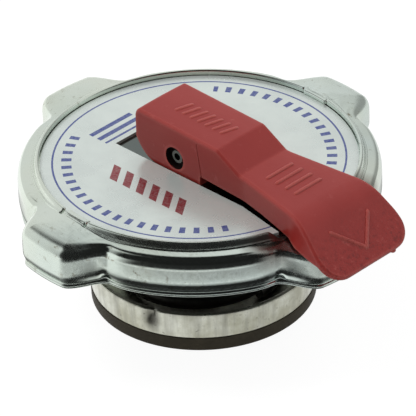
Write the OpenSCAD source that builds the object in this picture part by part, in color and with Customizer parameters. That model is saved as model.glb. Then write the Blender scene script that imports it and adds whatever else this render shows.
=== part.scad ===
// Vented radiator cap with a safety lever: a lobed steel shell, a sprung pressure
// valve with a vacuum valve inside it, and a cam lever that lifts the valve.
// Origin on the cap's axis at the underside of the pressure seal, +Z up, the lever
// points along +X. Millimetres.

/* [Filler neck] */
// Radius of the filler neck's bore that the valve hangs in
neck_bore_r = 21.8; // [19:0.1:26]

/* [Shell] */
// Height of the shell's flat top above the underside of the pressure seal
floor_z = 26.55; // [24:0.05:32]
// Thickness of the shell's steel sheet
sheet = 0.8; // [0.5:0.05:1.1]
// Outer radius of the skirt between the lobes
skirt_r = 32; // [31:0.1:38]
// How far the lobes stand out past the skirt
lobe_out = 4.8; // [3:0.1:7]
// How far the notches beside the lobes cut into the skirt
notch_in = 0.55; // [0.2:0.05:1]
// Half the angle over which a lobe keeps its full radius, in degrees
lobe_flat_angle = 7; // [5:0.1:9]
// Half the angle that a lobe takes up at the foot of its flanks, in degrees
lobe_half_angle = 18.5; // [16:0.1:22]
// Angle from the lever to the lobe under it, in degrees
lobe_turn = -3.5; // [-6:0.5:6]
// Width of the shoulder from the rim bead's crest to the skirt
shoulder_w = 3.2; // [2.4:0.1:4]
// Height of the rim bead's crest above the shell's flat top
bead_h = 1.55; // [1:0.05:2.2]
// Half the width of the rim bead at its foot
bead_half_w = 0.7; // [0.5:0.05:1]
// Height of the shoulder above the shell's flat top
shoulder_h = 0.25; // [0:0.05:0.5]
// Depth of the skirt from the shell's flat top to the lip
skirt_depth = 7.65; // [6.5:0.05:9]
// Half the angle of the two bayonet ears, in degrees
ear_half_angle = 11; // [7:0.5:12]

/* [Top plate] */
// Thickness of the printed top plate
plate_t = 0.55; // [0.3:0.05:0.8]
// Gap between the top plate and the rim bead
plate_gap = 0.15; // [0.05:0.05:0.4]
// How far the plate's cut-out runs on behind the lever's head
slot_behind = 5.1; // [2:0.1:8]
// Gap between the lever and the plate's cut-out on each side
slot_gap = 0.3; // [0.2:0.05:0.8]

/* [Upper seal] */
// Thickness of the spring steel diaphragm
diaphragm_t = 0.35; // [0.2:0.05:0.5]
// How far the diaphragm's edge hangs below its middle
diaphragm_drop = 1.4; // [0.8:0.1:2]
// Thickness of the neck gasket
gasket_t = 1.2; // [0.8:0.1:1.8]
// Width of the neck gasket
gasket_w = 3.4; // [2.5:0.1:3.6]
// Thickness of the plate that the pressure spring pushes on
seat_t = 0.8; // [0.5:0.05:1.2]
// Depth of the collar that centres the pressure spring
seat_collar_h = 1.3; // [0.8:0.1:2]

/* [Centre rivet and stem] */
// Radius of the lift stem's rod
rod_r = 2; // [1.6:0.05:2.4]
// Running clearance round the rod, on the radius
rod_gap = 0.08; // [0.04:0.01:0.1]
// Thickness of the rivet's wall outside the stem seal
rivet_wall = 0.8; // [0.6:0.05:1.2]
// Width of the rivet's lower flange
rivet_flange_w = 2; // [1.5:0.1:3]
// Thickness of the stem seal's ring
stem_seal_t = 1.08; // [0.8:0.02:1.2]
// Radius of the pivot pin
pin_r = 1.2; // [1:0.05:1.4]
// Radius of the hole through the pivot pin
pin_hole_r = 0.7; // [0.4:0.05:0.8]
// Running clearance round the pivot pin, on the radius
pin_gap = 0.05; // [0.02:0.01:0.1]
// Radius of the stem's eye round the pivot pin
eye_r = 2.6; // [2.3:0.05:3]
// Thickness of the stem's blade
blade_t = 4; // [3:0.1:4.4]

/* [Lever] */
// Height of the pivot pin above the shell's flat top
pin_h = 3.25; // [3:0.05:4]
// Rise of the stem for each radian that the lever turns
cam_rise = 4.4; // [3.6:0.1:4.8]
// Gap between the cam and the shell's flat top
cam_gap = 0.1; // [0.05:0.05:0.3]
// Distance from the pivot pin to the back of the head
head_back = 9.3; // [8.5:0.1:10]
// Length of the head's cheeks in front of the pivot pin
cheek_front = 6.1; // [5.4:0.1:7]
// Width of the head
head_w = 12.1; // [11.6:0.1:13]
// Height of the head's back edge above the shell's flat top
head_h = 9.85; // [9.4:0.05:11]
// How far the head's top falls towards the arm
head_fall = 0.65; // [0:0.05:1]
// Distance from the pivot pin to the end of the head's top
head_front = 10.3; // [9:0.1:12]
// Length of the slope from the head down to the arm
slope_len = 5.3; // [4:0.1:7]
// Height of the arm above the shell's flat top where the slope ends
arm_h = 6.2; // [5.8:0.05:7]
// How far the arm falls from the slope to the bend
arm_fall = 0.7; // [0:0.05:1]
// Length of the arm that lies inside the lobe's outer edge, past the bend
bend_inside = 7.5; // [6:0.1:9]
// Radius of the bend in the arm's top
bend_r = 9; // [7:0.1:12]
// Angle that the tip is bent down, in degrees
bend_angle = 41; // [35:0.5:44]
// How far the tip reaches past the lobe
tip_reach = 4.9; // [4:0.1:8]
// Thickness of the tip
tip_t = 1.4; // [1.2:0.05:1.8]
// Width of the arm at the bend
bend_w = 16.3; // [14:0.1:18]
// Width of the tip
tip_w = 20.2; // [17:0.1:22]
// Radius of the tip's corners
tip_corner_r = 4.3; // [2:0.1:6]
// Thickness of the arm's side walls
arm_wall = 1.9; // [1.4:0.05:2.4]
// Thickness of the arm's top
arm_top = 2.2; // [1.6:0.05:2.6]
// Thickness of the rib along the arm's underside
rib_t = 1.8; // [1.2:0.1:2.4]
// Height of the arm's side walls above the shell's flat top where they start
wall_start_h = 1.9; // [1.7:0.05:2.4]
// Gap between the arm's side walls and the rim that is pressed down under them
arm_gap = 0.3; // [0.25:0.05:0.6]
// Thickness of the locking tongue under the arm
tongue_t = 1.6; // [1.2:0.1:2]
// Width of the locking tongue
tongue_w = 4.4; // [3:0.1:6]
// Depth that the locking tongue reaches below the shell's flat top
tongue_depth = 4.75; // [3.5:0.05:5.5]
// Radius of the countersink round the pivot pin's ends
pin_sink_r = 2.15; // [1.8:0.05:2.4]
// Depth of the countersink round the pivot pin's ends
pin_sink_h = 1.4; // [0.8:0.1:2]

/* [Pressure valve] */
// Gap between the pressure seal and the filler neck's bore
seal_gap = 1.6; // [0.8:0.1:2]
// Thickness of the pressure seal
seal_h = 2.5; // [1.9:0.05:3]
// Thickness of the pressure seal's clamped web
web_t = 0.7; // [0.5:0.05:0.8]
// Thickness of the valve cup's sheet
cup_sheet = 0.9; // [0.6:0.05:1.1]
// Height of the valve cup
cup_h = 5.2; // [4:0.1:6.5]
// How far the valve cup's wall flares to its top edge
cup_flare = 0.4; // [0:0.05:0.6]
// How far the valve cup's foot lies inside the pressure seal's edge
cup_inset = 0.1; // [0:0.05:0.4]
// Thickness of the seal retainer's sheet
retainer_t = 0.6; // [0.5:0.05:0.65]
// Thickness of the lift bridge's strap
bridge_t = 1; // [0.7:0.05:1.3]
// Height of the lift bridge above the valve cup's floor
bridge_h = 9.4; // [9.2:0.1:10.5]
// Width of the lift bridge's strap
bridge_w = 7; // [6:0.1:8]
// Distance of the bridge's rivets from the axis
rivet_ring_r = 8.9; // [8.8:0.05:9.2]
// Radius of the bridge's rivets
bridge_rivet_r = 0.8; // [0.6:0.05:0.9]

/* [Vacuum valve] */
// Radius of the vacuum valve's passage through the cup
passage_r = 4; // [3.4:0.05:4.2]
// Radius of the vacuum valve's disc
vacuum_r = 6; // [5.8:0.05:6.1]
// Thickness of the vacuum valve's disc
vacuum_t = 0.5; // [0.3:0.05:0.5]
// Thickness of the vacuum valve's rubber ring
vacuum_seal_t = 0.6; // [0.5:0.05:0.65]
// Radius of the vacuum valve's stem
vacuum_stem_r = 1.2; // [0.9:0.05:1.5]
// Length of the vacuum spring
vacuum_spring_len = 3.4; // [3.1:0.1:3.6]
// Diameter of the vacuum spring's wire
vacuum_wire = 0.5; // [0.3:0.05:0.6]

/* [Pressure spring] */
// Outer radius of the pressure spring
spring_r = 14.8; // [14.4:0.1:16]
// Diameter of the pressure spring's wire
spring_wire = 2.4; // [1.8:0.1:2.6]
// Turns of the pressure spring
spring_turns = 4.75; // [4:0.25:5.5]

/* [Hidden] */
$fn = 96;

// Overlap that cuts run past a face
eps = 0.5;
// Clearance between parts that are fastened together
fit = 0.05;

// Shell, outside to inside
lobe_r = skirt_r + lobe_out;
notch_half_angle = 2.2;
bead_r = skirt_r - shoulder_w;
bead_in_r = bead_r - bead_half_w;
bead_out_r = bead_r + bead_half_w;
shoulder_z = floor_z + shoulder_h;
lip_z = floor_z - skirt_depth;
ceiling_z = floor_z - sheet;
relief_z = floor_z - 0.25;
relief_half_angle = 18;
relief_blend = 7;
stake_half_angle = 5;
stake_in = 0.55;
plate_r = bead_in_r - plate_gap;
plate_z = floor_z + plate_t;

// Upper seal stack under the shell
seat_z = ceiling_z - diaphragm_t - seat_t;
gasket_top = ceiling_z - diaphragm_t - diaphragm_drop;
gasket_r = neck_bore_r - 1.6 + gasket_w;
ear_r = gasket_r + 0.4;
spring_in_r = spring_r - spring_wire;
seat_r = spring_r + 1;
collar_r = spring_in_r - 0.4;

// Centre rivet and stem
seal_ring_r = rod_r + 0.06 + stem_seal_t / 2;
groove_r = rod_r + 0.12 + stem_seal_t;
rivet_r = groove_r + rivet_wall;
rivet_foot_z = seat_z - 1;
groove_z = rivet_foot_z + 0.7;
groove_h = stem_seal_t + 0.06;
flare_w = 0.6;
pin_z = floor_z + pin_h;

// Pressure valve stack
seal_r = neck_bore_r - seal_gap;
cup_floor = seal_h + cup_sheet;
cup_r = seal_r - cup_inset;
cup_top = seal_h + cup_h;
bridge_top = cup_floor + bridge_h;
bridge_under = bridge_top - bridge_t;
rivet_head_w = 0.6;
rivet_head_h = 0.6;
retainer_step_r = rivet_ring_r + bridge_rivet_r + rivet_head_w + retainer_t + 0.1;
retainer_in_r = vacuum_r + 0.4;
retainer_r = retainer_step_r + 2;
web_z = seal_h - web_t;
stem_washer_t = 1;
stem_head_h = 0.6;
washer_z = bridge_under - fit - stem_washer_t;
tail_r = rod_r - 0.6;
stem_foot_z = washer_z - stem_head_h;

// Vacuum valve
vacuum_seat_z = seal_h - fit;
vacuum_disc_z = vacuum_seat_z - vacuum_seal_t - vacuum_t;
vacuum_spring_r = passage_r + 0.7 + vacuum_wire / 2;
vacuum_washer_z = cup_floor + vacuum_spring_len;
vacuum_washer_t = 0.6;
vacuum_washer_r = vacuum_spring_r + vacuum_wire;
vacuum_head_h = 0.4;

// Lever, in its own plane: distance along the arm and height
slope_end = head_front + slope_len;
bend_x = lobe_r - bend_inside;
tip_x = lobe_r + tip_reach;
head_top_z = floor_z + head_h;
crease_z = head_top_z - head_fall;
arm_z = floor_z + arm_h;
bend_z = arm_z - arm_fall;
rim_foot_z = relief_z + 0.1 * (bead_h + 0.25) + arm_gap;
cheek_foot_z = floor_z + cam_gap;
step_z = floor_z + wall_start_h;
head_round = 1;
tongue_x = gasket_r + 0.6;
blade_gap = 0.3;
arm_angle = atan2(arm_fall, bend_x - slope_end);
bend_end = [bend_x + bend_r * (sin(bend_angle) - sin(arm_angle)),
    bend_z - bend_r * (cos(arm_angle) - cos(bend_angle))];
tip_top = [tip_x, bend_end.y - (tip_x - bend_end.x) * tan(bend_angle)];
tip_foot = tip_top - tip_t * [sin(bend_angle), cos(bend_angle)];
bend_foot = bend_end - arm_top * [sin(bend_angle), cos(bend_angle)];
cam_steps = 12;

// Points on an arc round a centre, from one angle to another
function arc(centre, r, from, to, steps) =
    [for (i = [0:steps])
        let (angle = from + (to - from) * i / steps)
        centre + r * [cos(angle), sin(angle)]];

// Smooth step from 0 to 1
function blend(x) = let (t = min(1, max(0, x))) t * t * (3 - 2 * t);

// Angle to the nearest lobe's middle, -45 to 45
function from_lobe(angle) = let (a = angle - lobe_turn + 45) a - 90 * floor(a / 90) - 45;

// Angle to the lever's own line, -180 to 180
function from_lever(angle) = angle - 360 * round(angle / 360);

// Outer radius of the skirt at an angle from a lobe's middle
function outline_r(angle) =
    let (a = abs(angle))
    let (t = (a - lobe_flat_angle) / (lobe_half_angle - lobe_flat_angle))
    let (flank = (1 + cos(180 * min(1, max(0, t)))) / 2)
    let (notch = exp(-pow((a - lobe_half_angle + 1.5) / notch_half_angle, 2)))
    skirt_r + lobe_out * flank - notch_in * notch;

// Inner radius of the skirt, one sheet inside the outer one
function inline_r(angle) =
    let (slope = (outline_r(angle + 0.5) - outline_r(angle - 0.5)) * 180 / PI)
    outline_r(angle) - sheet * sqrt(1 + pow(slope / skirt_r, 2));

// How far the rim is pressed down under the lever's arm, 0 to 1
function relief(angle) = 1 - blend((abs(from_lever(angle)) - relief_half_angle) / relief_blend);

// How far the bead is staked in over the top plate, 0 to 1
function stake(angle) =
    abs(cos(angle - lobe_turn)) > 0.5 ? 0 : 1 - blend((abs(from_lobe(angle)) - stake_half_angle) / 1.5);

// Whether an angle lies on one of the two bayonet ears
function on_ear(angle) = abs(cos(angle - lobe_turn)) < 0.5 && abs(from_lobe(angle)) < ear_half_angle;

// A height of the rim pressed almost flat onto a limit under the lever's arm
function pressed(angle, z, limit) = z - 0.9 * relief(angle) * max(0, z - limit);

// Section of the shell at an angle: down the outside to the lip, then back up the inside
function shell_section(angle) =
    let (lobe = from_lobe(angle))
    let (out = outline_r(lobe))
    let (in = inline_r(lobe))
    let (wide = out - bead_out_r)
    let (wide_in = in - bead_out_r)
    let (s = stake(angle) * stake_in)
    let (crest = floor_z + bead_h)
    let (under = relief_z - sheet)
    let (lip_r = on_ear(angle) ? ear_r : in - sheet)
    [
        [rivet_r + flare_w + fit, floor_z],
        [bead_in_r, floor_z],
        [bead_in_r, pressed(angle, plate_z + fit, relief_z)],
        [bead_in_r + 0.03 - s, pressed(angle, plate_z + 0.3, relief_z)],
        [bead_in_r + 0.1 - s, pressed(angle, crest - 0.3, relief_z)],
        [bead_r - 0.45 - 0.4 * s, pressed(angle, crest - 0.06, relief_z)],
        [bead_r - 0.2, pressed(angle, crest, relief_z)],
        [bead_r + 0.05, pressed(angle, crest - 0.12, relief_z)],
        [bead_r + 0.4, pressed(angle, crest - 0.7, relief_z)],
        [bead_out_r, pressed(angle, shoulder_z + 0.1, relief_z)],
        [bead_out_r + 0.4 * wide, pressed(angle, shoulder_z, relief_z - 0.1)],
        [bead_out_r + 0.7 * wide, pressed(angle, shoulder_z - 0.2, relief_z - 0.4)],
        [bead_out_r + 0.88 * wide, pressed(angle, shoulder_z - 0.55, relief_z - 0.6)],
        [bead_out_r + 0.97 * wide, shoulder_z - 1.25],
        [out, shoulder_z - 2],
        [out, lip_z + 2.4],
        [out - 0.25, lip_z + 1],
        [out - 0.75, lip_z],
        [lip_r, lip_z],
        [lip_r, lip_z + sheet],
        [in - 0.5, lip_z + sheet],
        [in - 0.1, lip_z + 1.5],
        [in, lip_z + 2.6],
        [in, shoulder_z - 2.5],
        [bead_out_r + 0.86 * wide_in, shoulder_z - 1.75],
        [bead_out_r + 0.4 * wide_in, under - 0.1],
        [bead_out_r - 0.2, under],
        [bead_r, pressed(angle, crest - sheet, under)],
        [bead_in_r - 0.2, ceiling_z],
        [rivet_r + fit, ceiling_z]
    ];

// Angles from a lobe's middle to halfway to the next one, at which the shell's section is taken
flat_steps = [0, 0.55, 1];
flank_steps = [0.15, 0.28, 0.4, 0.52, 0.64, 0.75, 0.87, 1];
skirt_steps = [0.06, 0.16, 0.3, 0.48, 0.72, 1];
half_angles = concat([for (s = flat_steps) s * lobe_flat_angle],
    [for (s = flank_steps) lobe_flat_angle + s * (lobe_half_angle - lobe_flat_angle)],
    [for (s = skirt_steps) lobe_half_angle + s * (45 - lobe_half_angle)]);
last = len(half_angles) - 1;
section_angles = [for (q = [0:3], i = [-last:last - 1])
    lobe_turn + 90 * q + sign(i) * half_angles[abs(i)]];

// Solid through a ring of closed sections, each a list of 3-D points
module ring_loft(sections) {
    n = len(sections);
    m = len(sections[0]);
    points = [for (s = sections) each s];
    faces = [for (i = [0:n - 1], j = [0:m - 1])
        let (a = i * m + j)
        let (b = i * m + (j + 1) % m)
        let (c = ((i + 1) % n) * m + (j + 1) % m)
        let (d = ((i + 1) % n) * m + j)
        each [[a, b, c], [a, c, d]]];
    polyhedron(points, faces);
}

// Solid through an open run of sections, with both ends capped
module tube_loft(sections) {
    n = len(sections);
    m = len(sections[0]);
    points = [for (s = sections) each s];
    sides = [for (i = [0:n - 2], j = [0:m - 1])
        let (a = i * m + j)
        let (b = i * m + (j + 1) % m)
        each [[a, b, b + m], [a, b + m, a + m]]];
    start = [for (j = [m - 1:-1:0]) j];
    end = [for (j = [0:m - 1]) (n - 1) * m + j];
    polyhedron(points, concat(sides, [start, end]));
}

// Coil spring with closed ends, standing between two heights
module coil(mean_r, wire, bottom, top, turns, per_turn, corners) {
    steps = round(turns * per_turn);
    low = bottom + wire / 2 + fit;
    high = top - wire / 2 - fit;
    // Share of the climb that is done after a share of the length; the end turns lie flat
    function climbed(t) =
        let (x = min(1, max(0, (t * turns - 0.6) / (turns - 1.2))))
        0.35 * blend(x) + 0.65 * x;
    tube_loft([for (i = [0:steps])
        let (angle = 360 * turns * i / steps)
        let (z = low + (high - low) * climbed(i / steps))
        [for (k = [0:corners - 1])
            let (r = mean_r + wire / 2 * cos(360 * k / corners))
            [r * cos(angle), r * sin(angle), z + wire / 2 * sin(360 * k / corners)]]]);
}

// Ring turned from a rectangle
module ring(inner, outer, bottom, top) {
    rotate_extrude() translate([inner, bottom]) square([outer - inner, top - bottom]);
}

// Profile in the lever's own plane, spread to a width about it
module across(width) {
    rotate([90, 0, 0]) linear_extrude(width, center = true) children();
}

module shell() {
    color("lightsteelblue")
    difference() {
        ring_loft([for (angle = section_angles)
            [for (p = shell_section(angle)) [p.x * cos(angle), p.x * sin(angle), p.y]]]);
        // Slot that the lever's locking tongue drops through
        translate([tongue_x - blade_gap, -tongue_w / 2 - blade_gap, ceiling_z - eps])
            cube([tongue_t + 2 * blade_gap + 1.2, tongue_w + 2 * blade_gap, sheet + 2 * eps]);
    }
}

// The lever seen from above, grown by a margin
module lever_plan(margin) {
    flare_x = tip_x - tip_corner_r;
    front = tip_x + margin;
    back = -head_back - margin;
    head = head_w / 2 + margin;
    bend = bend_w / 2 + margin;
    tip = tip_w / 2 + margin;
    polygon([[back, -head], [slope_end + 1, -head], [bend_x, -bend], [flare_x, -tip], [front, -tip],
        [front, tip], [flare_x, tip], [bend_x, bend], [slope_end + 1, head], [back, head]]);
}

// What is cut off the tip's corners, square to the tip
module tip_corners() {
    reach = tip_corner_r + eps;
    translate([tip_x, 0, tip_top.y])
    rotate([0, bend_angle, 0])
    for (side = [-1, 1])
        translate([-tip_corner_r, side * (tip_w / 2 - tip_corner_r), -3 * tip_t])
        linear_extrude(6 * tip_t)
        difference() {
            translate([0, side < 0 ? -reach : 0]) square(reach);
            circle(tip_corner_r);
        }
}

module top_plate() {
    color("gainsboro")
    translate([0, 0, floor_z])
    linear_extrude(plate_t)
    difference() {
        circle(plate_r);
        lever_plan(slot_gap);
        translate([-head_back - slot_behind, -head_w / 2 - slot_gap])
            square([slot_behind + eps, head_w + 2 * slot_gap]);
    }
}

module diaphragm() {
    top = ceiling_z;
    low = top - diaphragm_drop;
    rim = gasket_r - gasket_w - 0.4;
    flat = seat_r + 0.4;
    edge = gasket_r - 0.1;
    color("silver")
    rotate_extrude()
    polygon([[rivet_r + fit, top - diaphragm_t], [flat, top - diaphragm_t], [rim, low - diaphragm_t],
        [edge, low - diaphragm_t], [edge, low], [rim, low], [flat, top], [rivet_r + fit, top]]);
}

module neck_gasket() {
    color("dimgray")
    ring(gasket_r - gasket_w, gasket_r, gasket_top - gasket_t, gasket_top);
}

module spring_seat() {
    color("silver")
    rotate_extrude()
    polygon([[rivet_r + fit, seat_z], [collar_r - seat_t, seat_z],
        [collar_r - seat_t, seat_z - seat_collar_h], [collar_r, seat_z - seat_collar_h],
        [collar_r, seat_z], [seat_r, seat_z], [seat_r, seat_z + seat_t], [rivet_r + fit, seat_z + seat_t]]);
}

module centre_rivet() {
    bore = rod_r + rod_gap;
    top = floor_z - fit;
    flange = rivet_r + rivet_flange_w;
    color("silver")
    rotate_extrude()
    polygon([[bore + 0.15, rivet_foot_z], [flange, rivet_foot_z], [flange, seat_z], [rivet_r, seat_z],
        [rivet_r, ceiling_z], [rivet_r + flare_w, top], [bore, top], [bore, groove_z + groove_h],
        [groove_r, groove_z + groove_h], [groove_r, groove_z], [bore + 0.15, groove_z]]);
}

module stem_seal() {
    color("dimgray")
    rotate_extrude()
    translate([seal_ring_r, groove_z + groove_h / 2]) circle(stem_seal_t / 2, $fn = 32);
}

module pressure_spring() {
    color("darkslategray")
    coil(spring_r - spring_wire / 2, spring_wire, cup_floor, seat_z, spring_turns, 22, 8);
}

module lift_stem() {
    blade_z = floor_z + 0.3;
    color("silver")
    difference() {
        union() {
            translate([0, 0, stem_foot_z]) cylinder(h = stem_head_h, r = rod_r);
            translate([0, 0, washer_z]) cylinder(h = stem_washer_t, r = tail_r);
            translate([0, 0, washer_z + stem_washer_t]) cylinder(h = blade_z - washer_z, r = rod_r);
            translate([-eye_r, -blade_t / 2, blade_z]) cube([2 * eye_r, blade_t, pin_z - blade_z]);
            translate([0, 0, pin_z]) across(blade_t) circle(eye_r);
        }
        translate([0, 0, pin_z]) across(blade_t + 2 * eps) circle(pin_r + 0.01);
    }
}

module stem_washer() {
    color("silver")
    ring(tail_r, rod_r + 1.4, washer_z, washer_z + stem_washer_t);
}

module lever_pin() {
    color("slategray")
    translate([0, 0, pin_z])
    across(head_w - pin_sink_h)
    difference() {
        circle(pin_r);
        circle(pin_hole_r);
    }
}

// Point of the cam at a turn of the lever, about the pivot pin
function cam_point(turn) =
    let (h = pin_h - cam_gap + cam_rise * turn * PI / 180)
    [-h * sin(turn) - cam_rise * cos(turn), pin_z - h * cos(turn) + cam_rise * sin(turn)];

// Side view of the lever
module lever_side() {
    cam = [for (i = [0:cam_steps]) cam_point(90 * i / cam_steps)];
    bend_centre = [bend_x - bend_r * sin(arm_angle), bend_z - bend_r * cos(arm_angle)];
    polygon(concat(
        [[cheek_front, step_z], [cheek_front, cheek_foot_z]],
        [for (p = cam) if (p.x > -head_back) p],
        [[-head_back, pin_z + 0.6]],
        arc([head_round - head_back, head_top_z - head_round], head_round, 180, 90, 6),
        [[head_front, crease_z], [slope_end, arm_z]],
        arc(bend_centre, bend_r, 90 - arm_angle, 90 - bend_angle, 12),
        [tip_top, tip_foot],
        [[lobe_r + 0.9, rim_foot_z - 1.25], [bead_out_r + 0.3, rim_foot_z],
            [slope_end + 6, step_z - 0.75]]));
}

// Side view of the hollow under the arm
module arm_hollow_side() {
    front = cheek_front + arm_wall;
    under_x = lobe_r + 0.6;
    under_z = bend_end.y - (under_x - bend_end.x) * tan(bend_angle) - 1.3 * tip_t / cos(bend_angle);
    polygon([[front, floor_z - tongue_depth], [front, crease_z - arm_top],
        [head_front - 1, crease_z - arm_top], [slope_end - 1, arm_z - arm_top],
        [bend_x, bend_z - arm_top], bend_foot, [under_x, under_z], [under_x, floor_z - tongue_depth]]);
}

module lever() {
    tall = head_top_z + eps;
    color("firebrick")
    difference() {
        union() {
            intersection() {
                across(tip_w + 2 * eps) lever_side();
                linear_extrude(tall) lever_plan(0);
            }
            // Locking tongue
            translate([tongue_x, -tongue_w / 2, floor_z - tongue_depth])
                cube([tongue_t, tongue_w, tongue_depth + arm_h - arm_fall - arm_top + eps]);
        }
        // Two pockets beside the arm's rib
        difference() {
            intersection() {
                across(tip_w) arm_hollow_side();
                linear_extrude(tall) lever_plan(-arm_wall);
            }
            translate([0, -rib_t / 2, 0]) cube([bead_in_r - 0.4, rib_t, tall]);
            translate([tongue_x, -tongue_w / 2, 0]) cube([tongue_t, tongue_w, tall]);
        }
        tip_corners();
        // Slot for the stem's blade, open below and behind
        translate([-head_back - eps, -blade_t / 2 - blade_gap, floor_z - eps])
            cube([head_back + eye_r + blade_gap + eps, blade_t + 2 * blade_gap,
                pin_h + eye_r + blade_gap + eps]);
        // Pivot bore and the countersinks at its ends
        translate([0, 0, pin_z]) across(tip_w) circle(pin_r + pin_gap);
        for (side = [-1, 1])
            translate([0, side * head_w / 2, pin_z]) across(2 * pin_sink_h) circle(pin_sink_r);
    }
}

module valve_cup() {
    round_r = 0.8;
    top_r = cup_r + cup_flare;
    color("gainsboro")
    difference() {
        rotate_extrude()
        polygon(concat(
            [[passage_r, seal_h]],
            arc([cup_r - round_r, seal_h + round_r], round_r, -90, 0, 6),
            [[top_r, cup_top], [top_r - cup_sheet, cup_top], [cup_r - cup_sheet, cup_floor + 0.4],
                [cup_r - cup_sheet - 0.4, cup_floor], [passage_r, cup_floor]]));
        rivet_holes(seal_h, cup_floor);
    }
}

module pressure_seal() {
    color("dimgray")
    rotate_extrude()
    polygon([[retainer_step_r + fit, web_z], [retainer_r + 0.2, web_z], [retainer_r + 0.2, 0],
        [seal_r, 0], [seal_r, seal_h], [retainer_step_r + fit, seal_h]]);
}

module seal_retainer() {
    inner_z = seal_h - retainer_t;
    outer_z = web_z - retainer_t;
    step_in_r = retainer_step_r - retainer_t;
    color("silver")
    difference() {
        rotate_extrude()
        polygon([[retainer_in_r, inner_z], [step_in_r, inner_z], [step_in_r, outer_z],
            [retainer_r, outer_z], [retainer_r, web_z], [retainer_step_r, web_z],
            [retainer_step_r, seal_h], [retainer_in_r, seal_h]]);
        rivet_holes(inner_z, seal_h);
    }
}

// The two places where the bridge is riveted down
module at_rivets() {
    for (side = [-1, 1])
        translate([side * rivet_ring_r, 0, 0]) children();
}

// Holes for the bridge's rivets through a sheet between two heights
module rivet_holes(bottom, top) {
    at_rivets() translate([0, 0, bottom - eps])
        cylinder(h = top - bottom + 2 * eps, r = bridge_rivet_r, $fn = 32);
}

// Right half of the bridge's strap seen from the side, from its underside round to its top
function bridge_half() =
    let (leg = rivet_ring_r - bridge_rivet_r - rivet_head_w - 0.1)
    let (foot = rivet_ring_r + bridge_rivet_r + rivet_head_w)
    let (bend = 0.8)
    let (inner = leg - bridge_t)
    concat(
        arc([inner - bend, bridge_under - bend], bend, 90, 0, 5),
        [[inner, cup_floor], [foot, cup_floor], [foot, cup_floor + bridge_t],
            [leg, cup_floor + bridge_t]],
        arc([inner - bend, bridge_under - bend], bend + bridge_t, 0, 90, 5));

module lift_bridge() {
    half = bridge_half();
    other = [for (i = [len(half) - 1:-1:0]) [-half[i].x, half[i].y]];
    color("silver")
    difference() {
        across(bridge_w) polygon(concat(half, other));
        translate([0, 0, bridge_under - eps]) cylinder(h = bridge_t + 2 * eps, r = rod_r + 0.25);
        rivet_holes(cup_floor, cup_floor + bridge_t);
    }
}

module bridge_rivets() {
    foot = seal_h - retainer_t;
    top = cup_floor + bridge_t;
    head = bridge_rivet_r + rivet_head_w;
    color("silver")
    at_rivets() {
        translate([0, 0, foot - rivet_head_h]) cylinder(h = rivet_head_h, r = head, $fn = 32);
        translate([0, 0, foot]) cylinder(h = top - foot, r = bridge_rivet_r, $fn = 32);
        translate([0, 0, top]) cylinder(h = rivet_head_h, r = head, $fn = 32);
    }
}

module vacuum_valve() {
    head_z = vacuum_washer_z + vacuum_washer_t;
    color("goldenrod")
    rotate_extrude()
    polygon([[0, vacuum_disc_z], [vacuum_r, vacuum_disc_z], [vacuum_r, vacuum_disc_z + vacuum_t],
        [vacuum_stem_r, vacuum_disc_z + vacuum_t], [vacuum_stem_r, head_z], [vacuum_stem_r + 0.6, head_z],
        [vacuum_stem_r + 0.6, head_z + vacuum_head_h], [0, head_z + vacuum_head_h]]);
}

module vacuum_seal() {
    color("dimgray")
    ring(passage_r + 0.3, vacuum_r - 0.2, vacuum_disc_z + vacuum_t, vacuum_seat_z);
}

module vacuum_washer() {
    color("silver")
    ring(vacuum_stem_r, vacuum_washer_r, vacuum_washer_z, vacuum_washer_z + vacuum_washer_t);
}

module vacuum_spring() {
    color("silver")
    coil(vacuum_spring_r, vacuum_wire, cup_floor, vacuum_washer_z, 4, 18, 6);
}

shell();
top_plate();
diaphragm();
neck_gasket();
spring_seat();
centre_rivet();
stem_seal();
pressure_spring();
lift_stem();
stem_washer();
lever_pin();
lever();
valve_cup();
pressure_seal();
seal_retainer();
lift_bridge();
bridge_rivets();
vacuum_valve();
vacuum_seal();
vacuum_washer();
vacuum_spring();
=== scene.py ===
"""Looks of a radiator cap with a safety lever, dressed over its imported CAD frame."""
import math

import bmesh
import bpy
import numpy as np
from mathutils import Matrix, Vector, kdtree


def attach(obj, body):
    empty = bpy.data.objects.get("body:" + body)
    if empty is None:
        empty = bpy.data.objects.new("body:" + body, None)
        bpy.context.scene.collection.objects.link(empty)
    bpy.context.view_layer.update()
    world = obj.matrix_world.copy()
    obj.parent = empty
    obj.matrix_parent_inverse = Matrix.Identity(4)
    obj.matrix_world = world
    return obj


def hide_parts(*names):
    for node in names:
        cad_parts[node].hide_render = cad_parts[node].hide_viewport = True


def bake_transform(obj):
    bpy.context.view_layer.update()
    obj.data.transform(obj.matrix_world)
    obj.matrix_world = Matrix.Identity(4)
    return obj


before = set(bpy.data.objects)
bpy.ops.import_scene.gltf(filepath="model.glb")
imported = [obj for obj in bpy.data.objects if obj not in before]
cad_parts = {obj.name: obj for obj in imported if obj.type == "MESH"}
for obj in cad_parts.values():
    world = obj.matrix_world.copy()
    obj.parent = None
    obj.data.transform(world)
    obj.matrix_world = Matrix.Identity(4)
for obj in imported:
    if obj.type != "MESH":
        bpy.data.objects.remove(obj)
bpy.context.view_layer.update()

MM = 0.001
scene = bpy.context.scene
scene.view_settings.view_transform = "Standard"

# Camera, as fitted to the photograph: angles given in degrees, lengths in metres, the rest in pixels
ELEVATION = math.radians(32.02)
ROLL = math.radians(-2.16)
LEVER_TURN = math.radians(45.5)
DISTANCE = 0.7
FOCAL_PX = 4000.0
AIM_PX = (199.0, 152.8)
IMAGE_PX = 416
AIM_Z = 0.0281
SENSOR_MM = 36.0


def to_part(v):
    """A direction seen from the camera's own plan turned into the part's axes."""
    c, s = math.cos(LEVER_TURN), math.sin(LEVER_TURN)
    return Vector((c * v[0] - s * v[1], s * v[0] + c * v[1], v[2]))


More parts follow.
